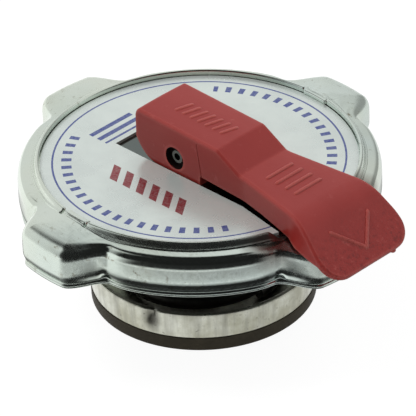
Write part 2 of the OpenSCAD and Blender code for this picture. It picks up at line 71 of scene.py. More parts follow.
def add_camera():
    """Camera at the place from which the photograph was taken, with its roll and off-centre aim."""
    right = to_part((1, 0, 0))
    up = to_part((0, math.sin(ELEVATION), math.cos(ELEVATION)))
    forward = to_part((0, math.cos(ELEVATION), -math.sin(ELEVATION)))
    c, s = math.cos(ROLL), math.sin(ROLL)
    du, dv = IMAGE_PX / 2 - AIM_PX[0], IMAGE_PX / 2 - AIM_PX[1]
    u, v = c * du + s * dv, -s * du + c * dv
    look = (forward + right * (u / FOCAL_PX) - up * (v / FOCAL_PX)).normalized()
    across = right * c + up * s
    across = (across - look * across.dot(look)).normalized()
    above = across.cross(look)
    data = bpy.data.cameras.new("camera")
    data.sensor_fit = "HORIZONTAL"
    data.sensor_width = SENSOR_MM
    data.lens = FOCAL_PX / IMAGE_PX * SENSOR_MM
    data.clip_start = 0.05
    data.clip_end = 20.0
    camera = bpy.data.objects.new("camera", data)
    scene.collection.objects.link(camera)
    turn = Matrix((across, above, -look)).transposed().to_4x4()
    camera.matrix_world = Matrix.Translation(Vector((0, 0, AIM_Z)) - forward * DISTANCE) @ turn
    scene.camera = camera


add_camera()


# Materials


def srgb(r, g, b):
    """A colour given as 0 to 255 screen values, as the shader wants it."""
    def linear(v):
        v /= 255
        return v / 12.92 if v <= 0.04045 else ((v + 0.055) / 1.055) ** 2.4
    return (linear(r), linear(g), linear(b), 1.0)


class Tree:
    """A node tree, with short calls for the nodes used here."""

    def __init__(self, tree):
        self.tree = tree

    def add(self, kind, inputs=None, **settings):
        node = self.tree.nodes.new(kind)
        for key, value in settings.items():
            setattr(node, key, value)
        for key, value in (inputs or {}).items():
            self.put(node.inputs[key], value)
        return node

    def put(self, socket, value):
        if isinstance(value, bpy.types.NodeSocket):
            self.tree.links.new(value, socket)
        else:
            socket.default_value = value

    def math(self, operation, a, b=0.0):
        return self.add("ShaderNodeMath", {0: a, 1: b}, operation=operation).outputs[0]

    def plus(self, first, *others):
        for value in others:
            first = self.math("ADD", first, value)
        return first

    def times(self, first, *others):
        for value in others:
            first = self.math("MULTIPLY", first, value)
        return first

    def hypot(self, a, b):
        return self.math("SQRT", self.plus(self.times(a, a), self.times(b, b)))

    def span(self, value, low, high, to_low=0.0, to_high=1.0, curve="LINEAR"):
        """Low to high mapped to another range, and held at its ends."""
        inputs = {"Value": value, "From Min": low, "From Max": high, "To Min": to_low, "To Max": to_high}
        return self.add("ShaderNodeMapRange", inputs, interpolation_type=curve).outputs[0]

    def along(self, axes, direction):
        """How far a place lies in a direction that is given in the camera's own plan."""
        return self.plus(*[self.times(a, k) for a, k in zip(axes, to_part(direction))])

    def looked_at(self):
        """1 for what the camera sees straight, in a reflection or through glass."""
        path = self.add("ShaderNodeLightPath").outputs
        seen = self.math("MAXIMUM", path["Is Camera Ray"], path["Is Glossy Ray"])
        return self.math("MAXIMUM", seen, path["Is Transmission Ray"])

    def mirrored(self):
        """1 for what is seen in a reflection."""
        return self.add("ShaderNodeLightPath").outputs["Is Glossy Ray"]


class Net(Tree):
    """A material's node tree; places in it are the part's own, in metres."""

    def __init__(self, name):
        self.material = bpy.data.materials.new(name)
        self.material.use_nodes = True
        super().__init__(self.material.node_tree)
        self.shader = self.tree.nodes["Principled BSDF"]
        self.place = self.add("ShaderNodeTexCoord").outputs["Object"]

    def set(self, **values):
        """Set the shader's sockets; an underscore in a name stands for a space."""
        for key, value in values.items():
            self.put(self.shader.inputs[key.replace("_", " ")], value)

    def noise(self, scale, detail=4.0, rough=0.55, vector=None):
        inputs = {"Vector": vector or self.place, "Scale": scale, "Detail": detail, "Roughness": rough}
        return self.add("ShaderNodeTexNoise", inputs).outputs["Fac"]

    def stretched(self, x, y, z):
        """The part's coordinates scaled, so that a pattern runs long in one direction."""
        return self.add("ShaderNodeMapping", {"Vector": self.place, "Scale": (x, y, z)}).outputs[0]

    def mix(self, share, a, b):
        node = self.add("ShaderNodeMix", data_type="RGBA")
        for socket, value in ((0, share), (6, a), (7, b)):
            self.put(node.inputs[socket], value)
        return node.outputs[2]

    def bump(self, height, strength, distance):
        inputs = {"Height": height, "Strength": strength, "Distance": distance}
        self.set(Normal=self.add("ShaderNodeBump", inputs).outputs[0])

    def axes(self):
        return tuple(self.add("ShaderNodeSeparateXYZ", {0: self.place}).outputs)

    def between(self, value, low, high):
        return self.times(self.math("GREATER_THAN", value, low), self.math("LESS_THAN", value, high))

    def distance(self, place, point):
        return self.add("ShaderNodeVectorMath", {0: place, 1: point}, operation="DISTANCE").outputs["Value"]

    def edges(self, radius):
        """0 on flat ground, rising to 1 on outer edges: where the lever's edges are lightened for wear and as
        a painted highlight.
        """
        bevel = self.add("ShaderNodeBevel", {"Radius": radius}, samples=4)
        normal = self.add("ShaderNodeNewGeometry").outputs["Normal"]
        dot = self.add("ShaderNodeVectorMath", {0: bevel.outputs[0], 1: normal}, operation="DOT_PRODUCT")
        return self.span(dot.outputs["Value"], 0.99, 0.9)


# Places on the part, in metres
RECESS_R, RECESS_Z = 0.0279, 0.0267             # the shell's floor inside the rim, under the top plate, where painted shade darkens it
BEAD_RUBBED = (0.02862, 0.02945)                # radii of the bead's outer face
LOBES_HANDLED = (0.0322, 0.0345)                # radii from which fingers dull the lobes
SCUFF_AND_REFLECTION_AT = (0.0277, 0.0113, 0.0270)             # the rim beside the lever, on both sides of it, scuffed and darkened by a painted reflection of the lever
NICK_FLATTER = 0.6                              # scale of heights at the cup's dent, to make its painted shade tall
NICK_AT = (0.00634, -0.01939, 0.0035)           # the cup's dent, with its height so scaled
PIN_HEIGHT, BORE_R, CHEEK_Y = 0.0298, 0.00222, 0.00595  # the counterbores round the lever's pin, darkened with painted shade
TIP_ROUGH = (0.0335, 0.0395)                    # where the lever's tip turns rough

# The top plate's print, in millimetres and degrees: a thin ring, dashes on an arc, bars and slanted blocks
RING_R, DASH_R = (25.6, 25.95), (22.4, 24.2)
NEAR_ARC, FAR_ARC, DASH_EVERY = (-158, -32), (24, 128), (6.0, 0.42)
BARS_X, BARS_Y, BAR_EVERY = (-21.0, -15.5), (-7.5, 2.5), (2.0, 0.5)
BLOCKS_X, BLOCKS_Y, BLOCK_EVERY, BLOCK_SLANT = (-19.0, 1.0), (-15.2, -11.4), (3.2, 0.55), 0.7


def metal(name, light, dark, rough, grain=(1, 1, 1)):
    """Plain metal: blotchy tint, drawn grain, small dull spots."""
    net = Net(name)
    cloud = net.noise(70.0, 5.0)
    fine = net.noise(900.0, 4.0, 0.6, net.stretched(*grain))
    speck = net.span(net.noise(1400.0, 2.0), 0.66, 0.74)
    tint = net.mix(net.span(cloud, 0.35, 0.68), light, dark)
    tint = net.mix(net.times(speck, 0.25), tint, srgb(70, 66, 60))
    net.set(Base_Color=tint, Metallic=1.0)
    worn = net.plus(net.span(cloud, 0.3, 0.7, *rough), net.span(fine, 0.3, 0.7, -0.04, 0.06))
    net.set(Roughness=net.plus(worn, net.times(speck, 0.25)))
    net.bump(net.math("SUBTRACT", fine, speck), 0.08, 0.00004)
    return net.material


def zinc():
    """Bright zinc plate: faint green and blue passivation, clouds, brown stains and specks, fine scratches.
    It is darkened by painted shade under the top plate, rubbed on the bead and dull on the lobes; beside the
    lever it is scuffed and darkened by a painted reflection of the lever."""
    net = Net("zinc_plate")
    x, y, z = net.axes()
    r = net.hypot(x, y)
    cloud = net.noise(45.0, 6.0, 0.6)
    hue = net.noise(28.0, 3.0)
    stain = net.span(net.noise(150.0, 6.0, 0.72), 0.62, 0.8)
    speck = net.times(net.span(net.noise(800.0, 3.0, 0.6), 0.62, 0.72), net.span(cloud, 0.42, 0.6))
    recess_shade = net.times(net.math("LESS_THAN", r, RECESS_R), net.math("LESS_THAN", z, RECESS_Z))
    either_side = net.add("ShaderNodeCombineXYZ", {0: x, 1: net.math("ABSOLUTE", y), 2: z}).outputs[0]
    scuff_and_lever_reflection = net.span(net.distance(either_side, SCUFF_AND_REFLECTION_AT), 0.0058, 0.0022)

    base = net.mix(net.span(hue, 0.4, 0.62), srgb(222, 230, 218), srgb(216, 229, 224))
    base = net.mix(net.span(cloud, 0.45, 0.75, 0.0, 0.5), base, srgb(192, 200, 180))
    base = net.mix(net.times(stain, 0.5), base, srgb(140, 128, 100))
    # painted shade: the shell's floor under the top plate is darkened
    base = net.mix(net.times(recess_shade, 0.85), base, srgb(58, 66, 66))
    base = net.mix(net.times(speck, 0.7), base, srgb(120, 106, 78))
    # a scuff and a painted reflection of the lever darken the rim beside it
    base = net.mix(net.times(scuff_and_lever_reflection, 0.75), base, srgb(98, 76, 68))
    net.set(Base_Color=base, Metallic=1.0)

    scratch = net.noise(500.0, 3.0, 0.6, net.stretched(1, 6, 3))
    rubbed = net.times(net.between(r, *BEAD_RUBBED), net.span(cloud, 0.35, 0.6, 0.16, 0.08))
    handled = net.span(r, *LOBES_HANDLED)
    rough = net.plus(net.span(cloud, 0.3, 0.7, 0.1, 0.17), net.span(scratch, 0.35, 0.65, -0.03, 0.05))
    rough = net.plus(rough, rubbed, net.times(handled, 0.1), net.times(scuff_and_lever_reflection, 0.16), net.times(stain, 0.2))
    net.set(Roughness=rough)
    orange_peel = net.noise(240.0, 3.0, 0.5)
    net.bump(net.plus(orange_peel, net.times(scratch, 0.4)), 0.12, 0.00006)
    return net.material


def printed_plate():
    """Glossy sheet, printed white with plain blue and red shapes; the metal shines through a little."""
    net = Net("printed_plate")
    x, y, _ = net.axes()
    x, y = net.times(x, 1000.0), net.times(y, 1000.0)
    r = net.hypot(x, y)
    angle = net.times(net.math("ARCTAN2", y, x), 180 / math.pi)

    def every(value, step, share):
        """1 over a share of each step."""
        count = net.math("DIVIDE", net.plus(value, 360.0), step)
        return net.math("LESS_THAN", net.math("FRACT", count), share)

    ring = net.between(r, *RING_R)
    near, far = [net.times(net.between(r, *DASH_R), net.between(angle, *arc), every(angle, *DASH_EVERY))
                 for arc in (NEAR_ARC, FAR_ARC)]
    bars = net.times(net.between(y, *BARS_Y), net.between(x, *BARS_X), every(x, *BAR_EVERY))
    blue = net.math("MINIMUM", net.plus(ring, near, far, bars), 1.0)
    slanted = net.plus(x, net.times(y, BLOCK_SLANT))
    red = net.times(net.between(y, *BLOCKS_Y), net.between(slanted, *BLOCKS_X), every(slanted, *BLOCK_EVERY))

    mottle = net.noise(120.0, 5.0, 0.6)
    ink = net.span(net.noise(2600.0, 2.0), 0.3, 0.7, 0.82, 1.0)
    colour = net.mix(net.span(mottle, 0.35, 0.65), srgb(220, 229, 224), srgb(211, 220, 216))
    colour = net.mix(net.times(blue, ink), colour, srgb(62, 76, 146))
    colour = net.mix(net.times(red, ink), colour, srgb(136, 26, 40))
    net.set(Base_Color=colour, Metallic=0.4, Specular_IOR_Level=0.5)
    net.set(Roughness=net.span(mottle, 0.3, 0.7, 0.2, 0.32))
    net.bump(net.noise(500.0, 3.0), 0.05, 0.00005)
    return net.material


def red_moulding():
    """Satin red moulded plastic: fine spark texture, faint flow marks, pale scuffs, and edges lightened for
    wear and as a painted highlight.
    The counterbores round the pin are darkened with painted shade, and the tip is pitted."""
    net = Net("red_moulding")
    x, y, z = net.axes()
    flow = net.noise(60.0, 5.0, 0.6, net.stretched(0.35, 1, 1))
    fine = net.noise(1500.0, 3.0, 0.6)
    pale = net.span(net.noise(420.0, 5.0, 0.7), 0.62, 0.74)
    from_pin = net.hypot(x, net.math("SUBTRACT", z, PIN_HEIGHT))
    inside = net.math("LESS_THAN", net.math("ABSOLUTE", y), CHEEK_Y)
    bore_shade = net.times(net.math("LESS_THAN", from_pin, BORE_R), inside)
    near_tip = net.span(x, *TIP_ROUGH)
    pits = net.noise(1200.0, 4.0, 0.7)

    base = net.mix(net.span(flow, 0.35, 0.68), srgb(155, 45, 40), srgb(143, 38, 34))
    base = net.mix(net.times(pale, 0.3), base, srgb(190, 104, 98))
    # edges lightened for wear and as a painted highlight
    base = net.mix(net.times(net.edges(0.0011), 0.5), base, srgb(204, 108, 98))
    # painted shade: the counterbores round the pin are darkened
    base = net.mix(bore_shade, base, srgb(30, 18, 16))
    base = net.mix(net.times(net.span(pits, 0.54, 0.62, 0.0, 0.5), near_tip), base, srgb(104, 26, 24))
    base = net.mix(net.times(net.span(pits, 0.42, 0.34, 0.0, 0.3), near_tip), base, srgb(190, 96, 90))
    net.set(Base_Color=base, Roughness=net.span(flow, 0.3, 0.7, 0.34, 0.44), Specular_IOR_Level=0.5)
    height = net.plus(fine, net.times(flow, 1.5), net.times(pits, near_tip, -10.0))
    net.bump(height, 0.26, 0.00006)
    return net.material


def tinned():
    """Tinned steel: upright streaks from drawing, blotches, and painted shade darkening the cup's dent."""
    net = Net("tinned_steel")
    cloud = net.noise(160.0, 5.0, 0.65)
    streak = net.noise(700.0, 4.0, 0.65, net.stretched(1, 1, 0.06))
    speck = net.span(net.noise(1100.0, 3.0), 0.63, 0.72)
    to_nick = net.distance(net.stretched(1, 1, NICK_FLATTER), NICK_AT)
    dent_shade = net.times(net.span(to_nick, 0.0021, 0.0007), net.span(cloud, 0.25, 0.5, 0.6, 1.0))
    tint = net.mix(net.span(cloud, 0.38, 0.64), srgb(212, 214, 202), srgb(176, 176, 158))
    tint = net.mix(net.span(streak, 0.42, 0.7, 0.0, 0.55), tint, srgb(146, 146, 136))
    tint = net.mix(net.times(speck, 0.5), tint, srgb(78, 74, 66))
    # painted shade darkens the cup's dent
    tint = net.mix(net.times(dent_shade, 0.8), tint, srgb(58, 56, 52))
    net.set(Base_Color=tint, Metallic=1.0)
    rough = net.plus(net.span(cloud, 0.3, 0.7, 0.24, 0.36), net.span(streak, 0.3, 0.7, -0.04, 0.08))
    net.set(Roughness=rough)
    net.bump(net.math("SUBTRACT", streak, speck), 0.14, 0.00004)
    return net.material


def rubber(name, colour):
    """Matt moulded rubber with a dusty bloom."""
    net = Net(name)
    bloom = net.span(net.noise(160.0, 6.0, 0.7), 0.5, 0.78)
    fine = net.noise(2200.0, 3.0)
    pale = tuple(min(1.0, 2.4 * v + 0.01) for v in colour[:3]) + (1.0,)
    net.set(Base_Color=net.mix(net.times(bloom, 0.5), colour, pale))
    net.set(Roughness=net.span(bloom, 0.0, 1.0, 0.6, 0.8), Specular_IOR_Level=0.15)
    net.bump(net.plus(fine, net.times(bloom, 0.6)), 0.2, 0.00006)
    return net.material


ZINC = zinc()
PLATE = printed_plate()
RED = red_moulding()
TIN = tinned()
STEEL = metal("pressed_steel", srgb(196, 196, 194), srgb(170, 171, 170), (0.28, 0.42))
SPRING_STEEL = metal("spring_steel", srgb(180, 178, 174), srgb(150, 148, 146), (0.3, 0.42))
RIVET = metal("rivet_steel", srgb(202, 202, 202), srgb(178, 178, 178), (0.22, 0.36), (1, 1, 5))
PIN = metal("pin_steel", srgb(130, 130, 126), srgb(78, 79, 78), (0.24, 0.4), (1, 6, 1))
WIRE = metal("dark_wire", srgb(84, 82, 80), srgb(58, 56, 54), (0.36, 0.5), (1, 1, 3))
LIGHT_WIRE = metal("light_wire", srgb(198, 198, 198), srgb(172, 172, 172), (0.24, 0.34))
BRASS = metal("valve_brass", srgb(206, 170, 96), srgb(178, 142, 76), (0.22, 0.36), (1, 1, 6))
SEAL = rubber("seal_rubber", srgb(68, 63, 52))
GASKET = rubber("gasket_rubber", srgb(38, 36, 34))


# Pieces
SHARP_DEG = 34.0            # edges that turn by more than this stay sharp
MERGE_M = 1e-7


def add_mesh(name, points, faces, sharp):
    """An object made from points in millimetres."""
    mesh = bpy.data.meshes.new(name)
    mesh.from_pydata([tuple(float(v) * MM for v in p) for p in points], [], faces)
    obj = bpy.data.objects.new(name, mesh)
    scene.collection.objects.link(obj)
    finish_mesh(obj, sharp)
    return obj


def add_piece(name, points, faces, material, body, slot, nodes=(), sharp=SHARP_DEG):
    """Make a mesh piece from points in millimetres and hang it on its body."""
    obj = add_mesh(name, points, faces, sharp)
    obj.data.materials.append(material)
    if body:
        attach(obj, body)
    if nodes:
        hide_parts(*nodes)
    return obj


def finish_mesh(obj, sharp):
    """Merge doubles, point the faces outwards, and shade smooth but for edges sharper than an angle."""
    net = bmesh.new()
    net.from_mesh(obj.data)
    bmesh.ops.remove_doubles(net, verts=net.verts, dist=MERGE_M)
    bmesh.ops.dissolve_degenerate(net, dist=MERGE_M, edges=net.edges)
    bmesh.ops.recalc_face_normals(net, faces=net.faces)
    for face in net.faces:
        face.smooth = True
    limit = math.radians(sharp)
    for edge in net.edges:
        edge.smooth = len(edge.link_faces) == 2 and edge.calc_face_angle(0.0) < limit
    net.to_mesh(obj.data)
    net.free()


def flat(rows):
    """Rows of points as one list."""
    return [p for row in rows for p in row]


def grid_faces(rows, columns, wrap_rows, wrap_columns):
    """Four-cornered faces over rows of points; either way may close on itself."""
    faces = []
    for i in range(rows if wrap_rows else rows - 1):
        for j in range(columns if wrap_columns else columns - 1):
            k, n = (i + 1) % rows, (j + 1) % columns
            faces.append((i * columns + j, i * columns + n, k * columns + n, k * columns + j))
    return faces


def capped(rows):
    """Faces through rows of points that close round a shape, with both its ends closed."""
    count, width = len(rows), len(rows[0])
    faces = grid_faces(count, width, False, True)
    return faces + [tuple(range(width - 1, -1, -1)), tuple((count - 1) * width + j for j in range(width))]


def revolve(profile, steps):
    """Points and faces of a closed profile (radius, height) turned round the axis."""
    points = []
    for i in range(steps):
        a = 2 * math.pi * i / steps
        points += [(r * math.cos(a), r * math.sin(a), z) for r, z in profile]
    return points, grid_faces(steps, len(profile), True, True)


def cut(obj, points, faces):
    """Take a closed shape, given in millimetres, out of a piece."""
    tool = add_mesh("cutter", points, faces, SHARP_DEG)
    tool_mesh = tool.data
    modifier = obj.modifiers.new("cut", "BOOLEAN")
    modifier.operation = "DIFFERENCE"
    modifier.solver = "EXACT"
    modifier.object = tool
    bpy.context.view_layer.update()
    done = bpy.data.meshes.new_from_object(obj.evaluated_get(bpy.context.evaluated_depsgraph_get()))
    obj.modifiers.clear()
    old, obj.data = obj.data, done
    done.name = obj.name
    bpy.data.meshes.remove(old)
    bpy.data.objects.remove(tool)
    bpy.data.meshes.remove(tool_mesh)
    finish_mesh(obj, SHARP_DEG)


def box_shape(low, high):
    """Closed box between two corners."""
    (x0, y0, z0), (x1, y1, z1) = low, high
    points = [(x0, y0, z0), (x1, y0, z0), (x1, y1, z0), (x0, y1, z0),
              (x0, y0, z1), (x1, y0, z1), (x1, y1, z1), (x0, y1, z1)]
    return points, [(3, 2, 1, 0), (4, 5, 6, 7), (0, 1, 5, 4), (1, 2, 6, 5), (2, 3, 7, 6), (3, 0, 4, 7)]


def rod_across(r, y0, y1, z):
    """Closed cylinder along the lever's pin."""
    steps = 64
    points = []
    for y in (y0, y1):
        points += [(r * math.cos(2 * math.pi * i / steps), y, z + r * math.sin(2 * math.pi * i / steps))
                   for i in range(steps)]
    faces = grid_faces(2, steps, False, True)
    return points, faces + [tuple(range(steps)), tuple(range(2 * steps - 1, steps - 1, -1))]


def smooth_step(t):
    """0 to 1 with soft ends."""
    t = min(1.0, max(0.0, t))
    return t * t * (3 - 2 * t)


def line_through(x, stops):
    """Straight lines through (x, value) stops."""
    return float(np.interp(x, [s[0] for s in stops], [s[1] for s in stops]))


# Shell, with the CAD's own sizes in millimetres and degrees
FLOOR_Z, CEILING_Z, RELIEF_Z = 26.55, 25.75, 26.3
SKIRT_R, LOBE_OUT, NOTCH_IN, BEAD_FOOT_R = 32.0, 4.8, 0.55, 29.64
LOBE_TURN, EAR_HALF = -3.5, 11.0
LOBE_FLAT, LOBE_FLANK, NOTCH_AT, NOTCH_WIDE = 7, 11.5, 16.5, 4.5
SHEET = 0.8
STEPS_PER_DEGREE = 20

# Form of the sheet that the photograph shows: height at which the wall rolls over; angles from the lever
# over which bead and shoulder are let down; and, by angle from a lobe's middle, where the lobe's top fades
# into the shoulder, the stake ends, the nick beside it lies and the wall is creased
EDGE_Z = 24.3
RELIEF_HALF, BEAD_RAMP, SHOULDER_RAMP, RELIEF_SHARE = 16.8, 5.0, 14.0, 0.9
LOBE_TOP_HALF, LOBE_TOP_FADE = 8, 9
STAKE_HALF, STAKE_RAMP, STAKE_IN, STAKE_DROP, FAR_STAKE = 5.3, 0.35, 0.7, 0.42, 0.5
NICK_MIDDLE, NICK_WIDE, NICK_OUT, NICK_DROP, FAR_NICK = 5.9, 0.42, 0.45, 0.7, 0.12
CREASE_AT, CREASE_WIDE, CREASE_DEEP = 16.8, 1.0, 0.3
EAR_RAMP = 0.6


def from_lobe(angle):
    """Angle from the middle of the nearest lobe."""
    return (angle - LOBE_TURN + 45) % 90 - 45


def outline_r(angle):
    """Radius of the skirt: lobes with soft flanks and a shallow notch at the foot of each."""
    a = abs(from_lobe(angle))
    flank = 0.5 * (1 + math.cos(math.pi * min(1.0, max(0.0, (a - LOBE_FLAT) / LOBE_FLANK))))
    return SKIRT_R + LOBE_OUT * flank - NOTCH_IN * math.exp(-((a - NOTCH_AT) / NOTCH_WIDE) ** 2)


def outline_point(angle):
    a = math.radians(angle)
    return outline_r(angle) * np.array([math.cos(a), math.sin(a)])


def outline_tree():
    """The outline as a cloud of points, to measure distances from the skirt's wall."""
    count = 360 * STEPS_PER_DEGREE
    tree = kdtree.KDTree(count)
    for i in range(count):
        tree.insert((*outline_point(i / STEPS_PER_DEGREE), 0.0), i)
    tree.balance()
    return tree


OUTLINE = outline_tree()


def column_angles():
    """Angles of the shell's sections, close together on the lobes' flanks, at the stakes' ends and where
    the rim is let down beside the lever."""
    half = np.concatenate([np.arange(0, 4.8, 0.6), np.arange(4.8, 7.0, 0.11), np.arange(7.0, 20.5, 0.25),
                           np.arange(20.5, 45, 0.7)])
    angles = [LOBE_TURN + 90 * q + a for q in range(4) for a in np.concatenate([-half[:0:-1], half])]
    angles += [side * a for side in (-1, 1) for a in np.arange(16.5, 22.0, 0.18)]
    out = []
    for a in sorted(a % 360 for a in angles):
        if not out or a - out[-1] > 0.06:
            out.append(a)
    return out


def shoulder_z(d, on_lobe):
    """Height of the shoulder at a distance in from the skirt's wall: rolled edge, then a band that rises
    inwards. On the lobes the edge is softer and the top rises all the way to the bead."""
    roll = 1.1 + 1.1 * on_lobe
    edge = 1 - min(d, roll) / roll
    height = 2.38 + 0.25 * on_lobe
    band = 0.14 * min(1.5, max(0.0, d - 1.0))
    slope = 0.17 * max(0.0, d - 1.8)
    return EDGE_Z + height * math.sqrt(1 - edge * edge) + band * (1 - on_lobe) + slope * on_lobe


# Parts of the shell's section: the bead as (radius, height); places on the shoulder as distances in from the
# wall, across its middle and close to the wall; the rest as (distance in from the wall, height), but the ear
# that takes the lip's place as (radius, height)
BEAD = [(28.1, 26.55), (28.1, 27.0), (28.1, 27.5), (28.11, 27.78), (28.13, 27.92), (28.18, 28.01),
        (28.26, 28.06), (28.4, 28.09), (28.55, 28.08), (28.67, 28.03), (28.78, 27.92), (28.88, 27.76),
        (28.97, 27.58), (29.04, 27.42), (29.1, 27.3), (29.15, 27.23), (29.2, 27.2), (29.28, 27.187),
        (29.36, 27.173), (29.43, 27.16), (29.48, 27.11), (29.505, 27.04), (29.52, 26.97), (29.545, 26.94),
        (29.58, 26.93)]
STEP = [3.4, 3.15, 3.0, 2.85, 2.7, 2.55, 2.4, 2.1]
NEAR_WALL = [1.7, 1.35, 1.1, 0.9, 0.72, 0.56, 0.42, 0.3, 0.2, 0.12, 0.06, 0.02, 0.0]
WALL = [(0, 24.0), (0, 23.5), (0, 22.9), (0, 22.2), (0.01, 21.55), (0.06, 21.2), (0.16, 20.85),
        (0.3, 20.48), (0.43, 20.13), (0.5, 19.93), (0.5, 19.8), (0.44, 19.7), (0.33, 19.63), (0.29, 19.55),
        (0.28, 19.4), (0.29, 19.25), (0.33, 19.17), (0.42, 19.12), (0.47, 19.08), (0.46, 19.02),
        (0.5, 18.95), (0.62, 18.91), (0.9, 18.9)]
LIP = [(1.6, 18.9), (1.75, 19.05), (1.75, 19.35), (1.6, 19.6)]
EAR = [(24.1, 18.9), (24.0, 19.05), (24.0, 19.55), (24.1, 19.7)]
INSIDE = [(1.35, 19.8), (1.3, 20.2), (1.12, 20.8), (0.9, 21.5), (0.8, 22.3), (0.8, 23.2), (0.8, 24.0)]
BEAD_TOP = 28.09
BEAD_INNER = 28.45          # radius up to which the bead keeps its own height beside a lobe
FLOOR_R = (4.65, 12.0, 20.0, 26.5, 27.8)
CEILING_R = (27.9, 20.0, 12.0, 4.1)
UNDER_SHOULDER = ((0.96, 24.7), (0.86, 25.05), (0.65, 25.28), (0.4, 25.4))


def pressed(z, limit, relief):
    """A height let down towards a limit under the lever."""
    return z - RELIEF_SHARE * relief * max(0.0, z - limit)


def bead_points(u, lifted, stake, nick, relief):
    """The bead at one angle, staked inwards and nicked; its outer face ends on the shoulder."""
    points = []
    for q, z in BEAD:
        z = BEAD_TOP - (BEAD_TOP - z) * lifted if q > BEAD_INNER else z
        inner = smooth_step((28.8 - q) / 0.3)
        inward = stake * STAKE_IN * smooth_step((z - 26.9) / 0.3) * inner
        inward -= nick * NICK_OUT * smooth_step((z - 27.05) / 0.2) * inner
        drop = stake * STAKE_DROP * smooth_step((z - 27.1) / 0.5) * inner
        drop += nick * NICK_DROP * smooth_step((z - 27.2) / 0.4)
        points.append((*(u * (q - inward)), pressed(z - drop, RELIEF_Z, relief)))
    return points


def shoulder_points(foot, p, reach, shares, on_lobe, relief):
    """The shoulder at one angle, from the bead's foot out to the wall; where it is narrow, the places
    across its middle move together."""
    near = NEAR_WALL[0]
    room = min(1.0, max(0.02, (reach[0] - 1.75) / 1.75))
    middle = [near + (d - near) * room for d in STEP]
    at = [reach[0] + (middle[0] - reach[0]) * t for t in (0.0, 0.33, 0.67)] + middle + NEAR_WALL
    points = []
    for d in at:
        share = float(np.interp(d, reach[::-1], shares[::-1])) if d > 0.02 else 1.0 - d * 0.2
        limit = RELIEF_Z - 0.1 - 0.17 * max(0.0, 3.6 - d)
        points.append((*(foot + (p - foot) * share), pressed(shoulder_z(d, on_lobe), limit, relief)))
    return points


def shell_row(angle):
    """The shell's section at one angle: floor, bead, shoulder, wall, lip, and back along the inside."""
    p = outline_point(angle)
    along = outline_point(angle + 0.05) - outline_point(angle - 0.05)
    n = np.array([along[1], -along[0]]) / np.hypot(*along)
    u = p / np.hypot(*p)
    turn = (angle + 180) % 360 - 180
    on_near_side = turn < 0
    relief = 1 - smooth_step((abs(turn) - RELIEF_HALF) / BEAD_RAMP)
    shoulder_relief = 1 - smooth_step((abs(turn) - RELIEF_HALF) / SHOULDER_RAMP)
    lobe = abs(from_lobe(angle))
    on_lobe = 1 - smooth_step((lobe - LOBE_TOP_HALF) / LOBE_TOP_FADE)
    stake = nick = ear = 0.0
    if abs(math.cos(math.radians(angle - LOBE_TURN))) < 0.5:
        stake = (1 - smooth_step((lobe - STAKE_HALF) / STAKE_RAMP)) * (1.0 if on_near_side else FAR_STAKE)
        nick = math.exp(-((lobe - NICK_MIDDLE) / NICK_WIDE) ** 2) * (1.0 if on_near_side else FAR_NICK)
        ear = 1 - smooth_step((lobe - EAR_HALF + EAR_RAMP) / EAR_RAMP)

    foot = u * BEAD_FOOT_R
    shares = np.linspace(0, 1, 50)
    reach = [OUTLINE.find((*(foot + (p - foot) * t), 0.0))[2] for t in shares]
    lifted = (BEAD_TOP - shoulder_z(reach[0], on_lobe)) / (BEAD_TOP - BEAD[-1][1])

    row = [(*(u * q), FLOOR_Z) for q in FLOOR_R]
    row += bead_points(u, lifted, stake, nick, relief)
    row += shoulder_points(foot, p, reach, shares, on_lobe, shoulder_relief)
    crease = CREASE_DEEP * math.exp(-((lobe - CREASE_AT) / CREASE_WIDE) ** 2)
    for d, z in WALL:
        creased = crease * smooth_step((22.3 - z) / 2.0) * smooth_step((z - 19.5) / 0.8)
        row.append((*(p - n * (d + creased)), z))
    for (d, z), (q, ear_z) in zip(LIP, EAR):
        row.append((*((p - n * d) * (1 - ear) + u * q * ear), z * (1 - ear) + ear_z * ear))
    row += [(*(p - n * d), z) for d, z in INSIDE]
    inner = p - n * SHEET
    under = RELIEF_Z - SHEET
    row += [(*(foot + (inner - foot) * share), z) for share, z in UNDER_SHOULDER]
    row.append((*(u * 29.3), under))
    row.append((*(u * 28.9), pressed(27.0, under, relief)))
    row.append((*(u * 28.65), pressed(27.1, under, relief)))
    return row + [(*(u * q), CEILING_Z) for q in CEILING_R]


rows = [shell_row(angle) for angle in column_angles()]
shell = add_piece("shell_skin", flat(rows), grid_faces(len(rows), len(rows[0]), True, True),
                  ZINC, "cap_body", "zinc_steel", ["shell"])
TONGUE_SLOT = box_shape((23.9, -2.5, 25.2), (27.3, 2.5, 27.1))
cut(shell, *TONGUE_SLOT)


# Lever, in its own plane: distance along the arm and height, millimetres
PIN_Z, PIN_BORE_R, COUNTERBORE_R, COUNTERBORE_Y = 29.8, 1.25, 2.15, 4.65
HEAD_BACK, HEAD_FRONT, HEAD_FOOT_Z, HEEL_Z, BACK_EDGE_R = -9.3, 6.1, 26.65, 30.4, 0.8
CAM_R, CAM_REST = 4.4, 3.15     # the involute's base circle, and the cam's reach below the pin at rest
BEND_X, BEND_Z, BEND_R, BEND_DEG = 29.3, 32.05, 9.0, 41.0
BEND_END = (34.745, 29.854)
TIP_X, TIP_HALF_W, TIP_CORNER_R, TIP_EDGE_R, TIP_THICK = 41.7, 10.1, 4.3, 0.3, 1.4
TOP = [(HEAD_BACK, 36.4), (10.3, 35.75), (15.6, 32.75), (BEND_X, BEND_Z)]
FOOT = [(HEAD_FRONT, 28.45), (21.6, 27.7), (29.8, 26.77), (37.7, 25.52), (40.78, 22.76)]
WIDTHS = [(16.6, 6.05), (BEND_X, 8.15), (37.4, TIP_HALF_W)]
ARM_TILT = math.atan2(0.7, 13.7)
TILT_FROM = 26
TOP_EDGE_R, FOOT_EDGE_R, CROWN = 0.55, 0.3, 0.12

